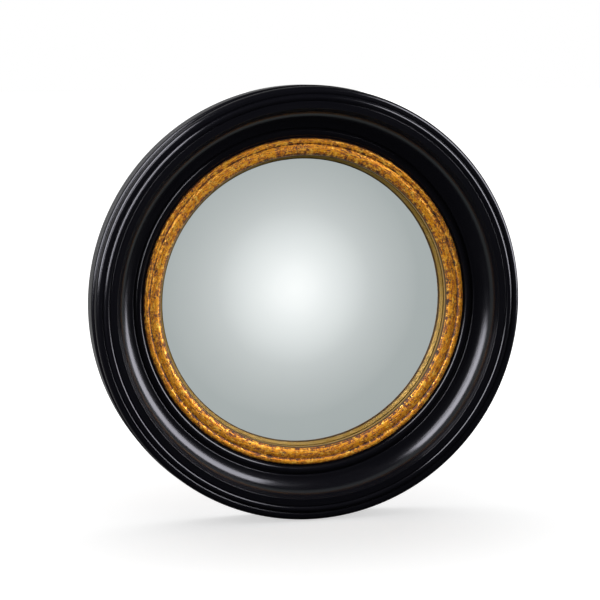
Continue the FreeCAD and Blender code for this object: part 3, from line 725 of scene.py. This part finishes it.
class MIRROR_OT_carcass(bpy.types.Operator):
    """Turn the carcass with its tray floor and countersinks, and the rim behind it"""

    bl_idname = "mirror.carcass"
    bl_label = "Carcass and rim"

    STEPS = 256
    HOLE_STEPS = 32
    # how far a face has to look at the wall or the axis for the brush to reach it
    FACING = 0.5

    def execute(self, context):
        s = context.scene.mirror_moulding
        h = context.scene.mirror_hardware
        finish = context.scene.mirror_finish
        board_bore = BOARD_HIGH.x + s.wood_gap
        slip_bore = SLIP_RADIUS + s.wood_gap
        outline = [
            (board_bore, TRAY_DEPTH),
            (board_bore, SLIP_BACK),
            (slip_bore, SLIP_BACK),
            (slip_bore, GLUE_LINE),
            (CARCASS_RADIUS, GLUE_LINE),
            (CARCASS_RADIUS, TRAY_DEPTH),
        ]
        lacquer = bpy.data.materials[LACQUER]
        paint = brushed_black_paint(finish)
        turned = lathe(section(outline, MM, s.worn_arris), self.STEPS)
        piece = new_piece("turned_carcass", *turned, lacquer)
        sink = h.countersunk_radius + h.countersink_gap
        cone = [
            (0.0, TRAY_DEPTH - MM),
            (sink, TRAY_DEPTH - MM),
            (sink, TRAY_DEPTH + h.countersink_gap),
            (h.shank_radius, TRAY_DEPTH + h.countersink_gap + h.countersunk_height),
            (h.shank_radius, TRAY_DEPTH + 2 * h.countersunk_height),
            (0.0, TRAY_DEPTH + 2 * h.countersunk_height),
        ]
        hole_corners, hole_faces = lathe(cone, self.HOLE_STEPS, closed=False)
        all_corners, all_faces = [], []
        ring = CARCASS_RADIUS - s.tray_wall - s.screw_inset
        for place in spread(s.moulding_screws, ring, math.pi / s.moulding_screws):
            base = len(all_corners)
            all_corners.extend(Vector(c) + place for c in hole_corners)
            all_faces.extend(tuple(base + i for i in face) for face in hole_faces)
        cut(piece, new_piece("countersinks", all_corners, all_faces, lacquer))
        self.paint_back(piece, paint)
        mount(piece, "mirror", "black_lacquer", "back_ring")

        tray = CARCASS_RADIUS - s.tray_wall
        rim_outline = [
            (tray, 0.0),
            (tray, TRAY_DEPTH),
            (CARCASS_RADIUS, TRAY_DEPTH),
            (CARCASS_RADIUS, s.back_arris),
            (CARCASS_RADIUS - s.back_arris, 0.0),
        ]
        turned = lathe(section(rim_outline, MM, s.worn_arris / 2), self.STEPS)
        rim = new_piece("turned_back_rim", *turned, lacquer)
        self.paint_back(rim, paint)
        mount(rim, "mirror", "black_lacquer", "back_rim")
        return {"FINISHED"}

    def paint_back(self, piece, paint):
        """Gives every face that looks at the wall, or into the tray, the dull paint."""
        piece.data.materials.append(paint)
        for face in piece.data.polygons:
            middle = Vector((face.center.x, 0.0, face.center.z))
            inward = face.normal.dot(middle) < -self.FACING * middle.length
            if face.normal.y > self.FACING or inward:
                face.material_index = 1


class MIRROR_OT_slip(bpy.types.Operator):
    """Turn the gilt slip, with the uneven gesso that shows through its leaf"""

    bl_idname = "mirror.slip"
    bl_label = "Gilt slip"

    STEPS = 600
    FINENESS = 0.45 * MM
    WORN_ARRIS = 0.3 * MM

    def execute(self, context):
        s = context.scene.mirror_slip
        edge = SLIP_RADIUS - s.tongue
        sight = edge - s.face
        valley = edge - s.outer_roll_width
        outline = [
            (sight, SLIP_BACK),
            (sight, SLIP_BACK + s.sight_wall, s.inner_roll_radius, -1),
            (valley - s.valley_width, s.valley_depth - s.valley_drop),
            (valley, s.valley_depth, s.outer_roll_radius, -1),
            (edge, s.edge_depth),
            (edge, s.tongue_top),
            (SLIP_RADIUS, s.tongue_top),
            (SLIP_RADIUS, SLIP_BACK),
        ]
        turned = lathe(section(outline, self.FINENESS, self.WORN_ARRIS), self.STEPS)
        gilding = worn_gilding(context.scene.mirror_finish, s)
        piece = new_piece("worn_gilt_slip", *turned, gilding)
        lowest, highest = sight + s.gesso_relief, edge - s.gesso_relief
        normals = [corner.normal.copy() for corner in piece.data.vertices]
        for corner, normal in zip(piece.data.vertices, normals):
            radius = math.hypot(corner.co.x, corner.co.z)
            if -corner.co.y > SLIP_BACK + MM and lowest < radius < highest:
                swell = noise.noise(corner.co / s.gesso_grain)
                ripple = noise.noise(corner.co * 3 / s.gesso_grain)
                corner.co += normal * s.gesso_relief * (swell + 0.5 * ripple - 0.3)
        finish_mesh(piece.data)
        mount(piece, "mirror", "gilding", "gilt_slip")
        return {"FINISHED"}


class MIRROR_OT_glass(bpy.types.Operator):
    """Slump the dished mirror glass between two spheres about one centre"""

    bl_idname = "mirror.glass"
    bl_label = "Convex glass"

    STEPS = 256
    RINGS = 48

    def execute(self, context):
        thickness = context.scene.mirror_hardware.glass_thickness
        sag = GLASS_APEX - thickness - GLASS_RIM_DEPTH
        inside = (GLASS_RADIUS ** 2 + sag ** 2) / (2 * sag)
        centre = GLASS_APEX - thickness - inside
        radii = [GLASS_RADIUS * step / self.RINGS for step in range(self.RINGS + 1)]
        points = []
        for sphere, way in ((inside + thickness, radii), (inside, reversed(radii))):
            points.extend((radius, centre + math.sqrt(sphere ** 2 - radius ** 2)) for radius in way)
        slumped = lathe(points, self.STEPS, closed=False)
        silvered = silvered_glass(context.scene.mirror_finish)
        piece = new_piece("silvered_convex_glass", *slumped, silvered)
        mount(piece, "mirror", "mirror_glass", "convex_glass")
        return {"FINISHED"}


class MIRROR_OT_backing(bpy.types.Operator):
    """Fit the hardboard disc, and finish the card and felt rings that lie inside"""

    bl_idname = "mirror.backing"
    bl_label = "Backing board and packing"

    STEPS = 192
    SOFT_EDGE = 0.4 * MM

    def execute(self, context):
        finish = context.scene.mirror_finish
        radius, front = BOARD_HIGH.x, -BOARD_LOW.y
        soft = self.SOFT_EDGE
        points = [
            (0.0, TRAY_DEPTH),
            (radius * 0.5, TRAY_DEPTH),
            (radius - soft, TRAY_DEPTH),
            (radius - 0.3 * soft, TRAY_DEPTH + 0.3 * soft),
            (radius, TRAY_DEPTH + soft),
            (radius, front),
            (0.0, front),
        ]
        pressed = lathe(points, self.STEPS, closed=False)
        board = new_piece("hardboard_back", *pressed, tempered_hardboard(finish))
        mount(board, "mirror", "hardboard", "backing_board")
        dress("packing_ring", fibrous("Grey card, cut", finish.card, linear("bba987"), 0.8))
        dress("glass_gasket", fibrous("Black wool felt, pressed", finish.felt, linear("34322f"), 0.5))
        return {"FINISHED"}


def screw_mesh(outline, h, head_depth, material):
    """A screw head and shank about the mirror's axis, with a cross recess in its head."""
    blank = new_piece("screw_blank", *lathe(outline, 32, closed=False), material)
    half, reach = h.recess_width / 2, h.recess_reach
    levels = ((head_depth - MM, 1.0), (head_depth + h.recess_depth, h.recess_taper))
    for wide, high in ((reach, half), (half, reach)):
        corners = [
            (x * shrink, -depth, z * shrink)
            for depth, shrink in levels
            for x, z in ((-wide, -high), (wide, -high), (wide, high), (-wide, high))
        ]
        faces = [(0, 1, 2, 3), (4, 5, 6, 7), (0, 1, 5, 4), (1, 2, 6, 5), (2, 3, 7, 6), (3, 0, 4, 7)]
        cut(blank, new_piece("recess", corners, faces, material))
    mesh = blank.data
    bpy.data.objects.remove(blank)
    return mesh


def screw_group(name, mesh, places, seed):
    """One mesh object of many screws, each turned to its own angle."""
    chance = random.Random(seed)
    work = bmesh.new()
    for place in places:
        start = len(work.verts)
        work.from_mesh(mesh)
        work.verts.ensure_lookup_table()
        turning = Matrix.Rotation(chance.uniform(0, math.tau), 4, OUTWARD)
        bmesh.ops.transform(work, matrix=Matrix.Translation(place) @ turning, verts=work.verts[start:])
    joined = bpy.data.meshes.new(name)
    work.to_mesh(joined)
    work.free()
    joined.materials.append(mesh.materials[0])
    finish_mesh(joined)
    return show(name, joined)


def solid_boxes(node):
    """The box of each separate solid of a CAD node, from left to right."""
    work = bmesh.new()
    work.from_mesh(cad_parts[node].data)
    bmesh.ops.remove_doubles(work, verts=work.verts, dist=SAME_POINT)
    unseen, found = set(work.verts), []
    while unseen:
        island, queue = [], [unseen.pop()]
        while queue:
            corner = queue.pop()
            island.append(corner.co.copy())
            others = {edge.other_vert(corner) for edge in corner.link_edges} & unseen
            unseen -= others
            queue.extend(others)
        found.append([Vector(side(c[i] for c in island) for i in range(3)) for side in (min, max)])
    work.free()
    return sorted(found, key=lambda box: tuple(box[0]))


class MIRROR_OT_screws(bpy.types.Operator):
    """Drive the screws: pan heads for the buttons and the strap, countersunk in the tray"""

    bl_idname = "mirror.screws"
    bl_label = "Screws"

    POINT = 4 * MM
    LONG_SHANK = 2 * MM

    def execute(self, context):
        h = context.scene.mirror_hardware
        zinc = plated_steel(ZINC, context.scene.mirror_finish.zinc, linear("8f928f"), 6.0)
        for node, seed in (("turn_button_screws", 3), ("hanger_screws", 8), ("moulding_screws", 5)):
            boxes = solid_boxes(node)
            tip = -min(low.y for low, _ in boxes)
            if node == "moulding_screws":
                head = TRAY_DEPTH + h.countersink_gap
                top = [
                    (0.0, head),
                    (h.countersunk_radius, head),
                    (self.LONG_SHANK, head + h.countersunk_height),
                ]
            else:
                head = -max(high.y for _, high in boxes)
                seat = head + h.pan_height
                top = [
                    (0.0, head),
                    (0.45 * h.pan_radius, head + 0.08 * h.pan_height),
                    (0.8 * h.pan_radius, head + 0.35 * h.pan_height),
                    (h.pan_radius, head + 0.7 * h.pan_height),
                    (h.pan_radius, seat),
                    (h.shank_radius, seat),
                ]
            shank = top[-1][0]
            mesh = screw_mesh([*top, (shank, tip - self.POINT), (0.0, tip)], h, head, zinc)
            places = [(low + high) / 2 * Vector((1.0, 0.0, 1.0)) for low, high in boxes]
            piece = screw_group(node.replace("screws", "screw_heads"), mesh, places, seed)
            mount(piece, "mirror", "zinc_steel", node)
        return {"FINISHED"}


def eased_copy(node, name, material, ease):
    """A copy of a stamped steel node whose edges are eased round."""
    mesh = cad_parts[node].data.copy()
    mesh.name = name
    mesh.materials.clear()
    mesh.materials.append(material)
    work = bmesh.new()
    work.from_mesh(mesh)
    bmesh.ops.remove_doubles(work, verts=work.verts, dist=SAME_POINT)
    bmesh.ops.dissolve_limit(work, angle_limit=math.radians(1), verts=work.verts, edges=work.edges)
    work.to_mesh(mesh)
    work.free()
    mesh.polygons.foreach_set("material_index", [0] * len(mesh.polygons))
    piece = show(name, mesh)
    rounding = piece.modifiers.new("Ease", "BEVEL")
    rounding.width = ease
    rounding.segments = 2
    rounding.limit_method = "ANGLE"
    rounding.angle_limit = STAMPED_EDGE
    settle(piece, STAMPED_SMOOTH)
    return piece


class MIRROR_OT_buttons(bpy.types.Operator):
    """Fit the six steel turn-buttons that hold the board in"""

    bl_idname = "mirror.buttons"
    bl_label = "Turn-buttons"

    def execute(self, context):
        h = context.scene.mirror_hardware
        steel = bpy.data.materials[ZINC]
        found = sorted(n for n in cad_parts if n.startswith("turn_button_") and n[-1].isdigit())
        if not found:
            raise RuntimeError("the frame has no turn-buttons")
        for node in found:
            index = node.rsplit("_", 1)[1]
            piece = eased_copy(node, f"stamped_turn_button_{index}", steel, h.eased_edge)
            mount(piece, f"button_{index}", "zinc_steel", node)
        return {"FINISHED"}


class MIRROR_OT_hanger(bpy.types.Operator):
    """Fit the brass plated strap and bend the wire ring in its knuckle"""

    bl_idname = "mirror.hanger"
    bl_label = "Hanger"

    def execute(self, context):
        h = context.scene.mirror_hardware
        finish = context.scene.mirror_finish
        brass = plated_steel("Brass plated steel, pressed", finish.brass, linear("8d6a2c"), 9.0)
        strap = eased_copy("hanger_strap", "pressed_hanger_strap", brass, h.eased_edge)
        mount(strap, "mirror", "brassed_steel", "hanger_strap")
        ring = self.bend_ring(h, brass)
        mount(ring, "ring", "brassed_steel", "hanger_ring")
        return {"FINISHED"}

    @staticmethod
    def bend_ring(h, brass):
        """A round wire along a bar, two tight bends, two legs and a half circle."""
        low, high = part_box("hanger_ring")
        wire = h.wire_radius
        half = high.x - wire
        top, bottom = high.z - wire, low.z + wire
        depth = (low.y + high.y) / 2
        corner = h.ring_corner
        bow = bottom + half
        path = []
        for centre_x, centre_z, start, stop, radius, steps in (
            (half - corner, top - corner, 90, 0, corner, 10),
            (0.0, bow, 0, -180, half, 48),
            (corner - half, top - corner, 180, 90, corner, 10),
        ):
            for i in range(steps + 1):
                angle = math.radians(start + (stop - start) * i / steps)
                path.append(Vector((
                    centre_x + radius * math.cos(angle), depth, centre_z + radius * math.sin(angle),
                )))
        corners, faces = [], []
        count, sides = len(path), WIRE_SIDES
        for index, point in enumerate(path):
            following = (index + 1) % count
            side = (path[following] - path[index - 1]).normalized().cross(OUTWARD)
            for k in range(sides):
                angle = math.tau * k / sides
                corners.append(point + (side * math.cos(angle) + OUTWARD * math.sin(angle)) * wire)
                around = ((index, k), (index, k + 1), (following, k + 1), (following, k))
                faces.append(tuple(ring * sides + place % sides for ring, place in around))
        return new_piece("bent_hanger_ring", corners, faces, brass, WIRE_SMOOTH)


class MIRROR_OT_stage(bpy.types.Operator):
    """Set the floor, the soft lamps, the pale surroundings and the camera"""

    bl_idname = "mirror.stage"
    bl_label = "Stage"

    FLOOR_SIZE = 40.0
    CARD_DISTANCE = 6.0
    CARD_REACH = math.radians(100)
    CARD_RINGS = 40
    CARD_STEPS = 96
    # what the camera looks at, beside the middle of the mirror's back
    AIM = Vector((-1.2, 0.0, 0.1)) * MM
    WHITE = (1.0, 1.0, 1.0, 1.0)
    # long softboxes that face the mirror: both ends of the middle line, the width, the radiance
    SOFTBOXES = (
        ("left_softbox", (-1.47, -0.46, 0.08), (-0.68, -0.43, 1.30), 0.55, 10.5),
        ("near_left_softbox", (-0.60, -0.48, 0.03), (-0.32, -0.48, 0.52), 0.08, 9.0),
        ("right_softbox", (1.60, -0.35, -0.12), (0.80, -0.80, 1.20), 0.65, 9.0),
        ("back_left_softbox", (-1.50, 1.10, 0.30), (-0.70, 1.10, 1.50), 0.90, 6.0),
        ("back_right_softbox", (1.50, 1.10, 0.30), (0.70, 1.10, 1.50), 0.90, 6.0),
    )
    LAMP_COLOUR = "f4f3ff"
    # brightness of the card in front, by degrees from its middle
    GLOW = (
        (0, 1.17), (5.4, 1.09), (8, 1.03), (10.7, 0.965), (14.2, 0.89), (18, 0.785), (21.4, 0.69),
        (26.8, 0.605), (32, 0.55), (36, 0.51), (60, 0.43),
    )

    def execute(self, context):
        s = context.scene.mirror_stage
        scene = context.scene
        scene.view_settings.view_transform = "Standard"
        self.camera(scene, s)
        floor = self.floor()
        glass = bpy.data.objects["silvered_convex_glass"]
        front = [bpy.data.objects[name] for name in ("turned_face_moulding", "worn_gilt_slip")]
        for name, start, end, width, radiance in self.SOFTBOXES:
            start, end = Vector(start), Vector(end)
            length_way = (end - start).normalized()
            direction = (start + end).normalized()
            direction = (direction - length_way * direction.dot(length_way)).normalized()
            holder = self.softbox(name, (end - start).length, width, radiance)
            holder.data.color = linear(self.LAMP_COLOUR)
            turning = Matrix((length_way, direction.cross(length_way), direction)).transposed()
            holder.matrix_world = Matrix.Translation((start + end) / 2) @ turning.to_4x4()
            holder.visible_camera = False
            left_out = (glass, floor, *front) if name.startswith("back") else (glass, floor)
            holder.light_linking.receiver_collection = self.linked("not_" + name, "EXCLUDE", *left_out)
        self.backdrop(floor)
        self.card(s, glass)
        self.surroundings(scene, s)
        return {"FINISHED"}

    @staticmethod
    def softbox(name, width, height, radiance):
        """A rectangular lamp whose power gives its face a radiance."""
        lamp = bpy.data.lights.new(name, "AREA")
        lamp.shape = "RECTANGLE"
        lamp.size, lamp.size_y = width, height
        lamp.energy = radiance * math.pi * width * height
        return show(name, lamp)

    @staticmethod
    def linked(name, state, *receivers):
        """A collection of the objects that a lamp lights, or leaves out, and nothing else."""
        group = bpy.data.collections.new(name)
        for place, receiver in enumerate(receivers):
            group.objects.link(receiver)
            group.collection_objects[place].light_linking.link_state = state
        return group

    def camera(self, scene, s):
        """Camera left of the mirror's axis and a little above it."""
        back = Vector((
            -math.sin(s.camera_yaw) * math.cos(s.camera_pitch),
            -math.cos(s.camera_yaw) * math.cos(s.camera_pitch),
            math.sin(s.camera_pitch),
        ))
        lens = bpy.data.cameras.new("camera")
        lens.lens = s.camera_lens
        lens.dof.use_dof = False
        camera = show("camera", lens)
        camera.location = self.AIM + back * s.camera_distance
        camera.rotation_euler = (-back).to_track_quat("-Z", "Y").to_euler()
        scene.camera = camera

    def floor(self):
        """A pale floor under the rim. What the camera sees of it is lifted to white, and the
        mirror's shadow stays on it."""
        half = self.FLOOR_SIZE / 2
        height = CAD_BOX[0].z
        mesh = bpy.data.meshes.new("floor")
        square = ((-half, -half), (half, -half), (half, half), (-half, half))
        mesh.from_pydata([(x, y, height) for x, y in square], [], [(0, 1, 2, 3)])
        material, tree, shader, place = new_material(
            "Matt white paper floor", Roughness=0.9, Base_Color=opaque(linear("e8e8e8")),
        )
        rays = add(tree, "ShaderNodeLightPath")
        away = add(tree, VECTOR_MATH, (place,), operation="LENGTH")
        lift = add(tree, RANGE, (away, 0.3, 0.75, 0.6, 1.0))
        seen = add(tree, MATH, (rays.outputs["Is Camera Ray"], lift), operation="MULTIPLY")
        give(tree, shader, {"Emission Color": self.WHITE, "Emission Strength": seen})
        mesh.materials.append(material)
        floor = show("floor", mesh)
        floor.visible_glossy = False
        return floor

    def backdrop(self, floor):
        """The lit backdrop behind the mirror, which throws the mirror's shadow forward."""
        holder = self.softbox("backdrop_glow", 4.0, 0.9, 0.8)
        holder.location = (0.0, 0.8, 1.5)
        holder.rotation_euler = Vector(holder.location).to_track_quat("Z", "Y").to_euler()
        holder.light_linking.receiver_collection = self.linked("floor_only", "INCLUDE", floor)

    def card(self, s, glass):
        """A huge bowl-shaped card far in front, bright in its middle. Only the glass sees it."""
        middle = Vector((
            math.sin(s.glow_yaw) * math.cos(s.glow_pitch),
            -math.cos(s.glow_yaw) * math.cos(s.glow_pitch),
            math.sin(s.glow_pitch),
        ))
        turning = middle.to_track_quat("Z", "Y").to_matrix()
        rings, steps = self.CARD_RINGS, self.CARD_STEPS
        corners = [middle * self.CARD_DISTANCE]
        for ring in range(1, rings + 1):
            off = self.CARD_REACH * ring / rings
            for step in range(steps):
                angle = math.tau * step / steps
                local = Vector((
                    math.sin(off) * math.cos(angle), math.sin(off) * math.sin(angle), math.cos(off),
                ))
                corners.append(turning @ local * self.CARD_DISTANCE)
        faces = [(0, 1 + i, 1 + (i + 1) % steps) for i in range(steps)]
        for ring in range(rings - 1):
            first, second = 1 + ring * steps, 1 + (ring + 1) * steps
            for i in range(steps):
                j = (i + 1) % steps
                faces.append((first + i, second + i, second + j, first + j))
        mesh = bpy.data.meshes.new("bright_card")
        mesh.from_pydata(corners, [], faces)
        material = bpy.data.materials.new("Lit paper card")
        material.use_nodes = True
        material.cycles.emission_sampling = "NONE"
        tree = material.node_tree
        tree.nodes.clear()
        place = add(tree, COORDINATES).outputs["Object"]
        unit = add(tree, VECTOR_MATH, (place,), operation="NORMALIZE")
        facing = add(tree, VECTOR_MATH, (unit, middle), operation="DOT_PRODUCT")
        angle = add(tree, MATH, (facing,), operation="ARCCOSINE")
        widest = self.GLOW[-1][0]
        share = add(tree, MATH, (angle, math.radians(widest)), operation="DIVIDE")
        ramp = add(tree, "ShaderNodeValToRGB", (share,))
        ramp.color_ramp.interpolation = "B_SPLINE"
        stops = ramp.color_ramp.elements
        peak = self.GLOW[0][1]
        for index, (degrees, level) in enumerate(self.GLOW):
            stop = stops[index] if index < 2 else stops.new(degrees / widest)
            stop.position = degrees / widest
            cool = 1.0 - 0.1 * degrees / widest
            stop.color = (cool * level / peak, level / peak, level / peak, 1.0)
        light = add(tree, "ShaderNodeEmission", (ramp, peak))
        add(tree, "ShaderNodeOutputMaterial", (light,))
        mesh.materials.append(material)
        card = show("bright_card", mesh)
        for rays in ("camera", "diffuse", "transmission", "volume_scatter", "shadow"):
            setattr(card, "visible_" + rays, False)
        card.light_linking.receiver_collection = self.linked("glass_only", "INCLUDE", glass)

    def surroundings(self, scene, s):
        """White backdrop for the camera, even soft light, and for gloss a pale backdrop behind
        the mirror that darkens towards the studio in front of it."""
        world = bpy.data.worlds.new("studio")
        world.use_nodes = True
        tree = world.node_tree
        tree.nodes.clear()
        rays = add(tree, "ShaderNodeLightPath")
        parts = add(tree, SPLIT, (add(tree, COORDINATES).outputs["Generated"],))
        behind = add(tree, RANGE, (parts.outputs["Y"], -0.05, 0.9, 0.06, 0.25))
        below = add(tree, RANGE, (parts.outputs["Z"], 0.0, -0.5, 0.0, 0.12))
        level = add(tree, MATH, (behind, below), operation="MAXIMUM")
        glossy = add(tree, MIX, {0: rays.outputs["Is Glossy Ray"], 2: s.ambient, 3: level})
        seen = (rays.outputs["Is Camera Ray"], rays.outputs["Is Transmission Ray"])
        white = add(tree, MATH, seen, operation="MAXIMUM")
        strength = add(tree, MIX, {0: white, 2: glossy, 3: 1.0})
        light = add(tree, "ShaderNodeBackground", (self.WHITE, strength))
        add(tree, "ShaderNodeOutputWorld", (light,))
        scene.world = world


class MIRROR_PT_panel(bpy.types.Panel):
    """Lists the pieces of the mirror in the sidebar"""

    bl_idname = "MIRROR_PT_panel"
    bl_label = "Convex mirror"
    bl_space_type = "VIEW_3D"
    bl_region_type = "UI"
    bl_category = "Mirror"

    def draw(self, context):
        for piece in PIECES:
            self.layout.operator(piece.bl_idname)
        for group in GROUPS:
            settings = getattr(context.scene, group)
            box = self.layout.box()
            for name in settings.bl_rna.properties.keys():
                if name not in ("rna_type", "name"):
                    box.prop(settings, name)


PIECES = (
    MIRROR_OT_moulding,
    MIRROR_OT_carcass,
    MIRROR_OT_slip,
    MIRROR_OT_glass,
    MIRROR_OT_backing,
    MIRROR_OT_screws,
    MIRROR_OT_buttons,
    MIRROR_OT_hanger,
    MIRROR_OT_stage,
)
GROUPS = {
    "mirror_moulding": MouldingSizes,
    "mirror_slip": SlipSizes,
    "mirror_hardware": HardwareSizes,
    "mirror_finish": FinishColours,
    "mirror_stage": StageSettings,
}


def register():
    for group in (*GROUPS.values(), *PIECES, MIRROR_PT_panel):
        bpy.utils.register_class(group)
    for name, group in GROUPS.items():
        setattr(bpy.types.Scene, name, PointerProperty(type=group))


def unregister():
    for name in GROUPS:
        delattr(bpy.types.Scene, name)
    for group in (MIRROR_PT_panel, *reversed(PIECES), *reversed(GROUPS.values())):
        bpy.utils.unregister_class(group)


def main():
    register()
    for piece in PIECES:
        group, name = piece.bl_idname.split(".")
        getattr(getattr(bpy.ops, group), name)()


if __name__ == "__main__":
    main()
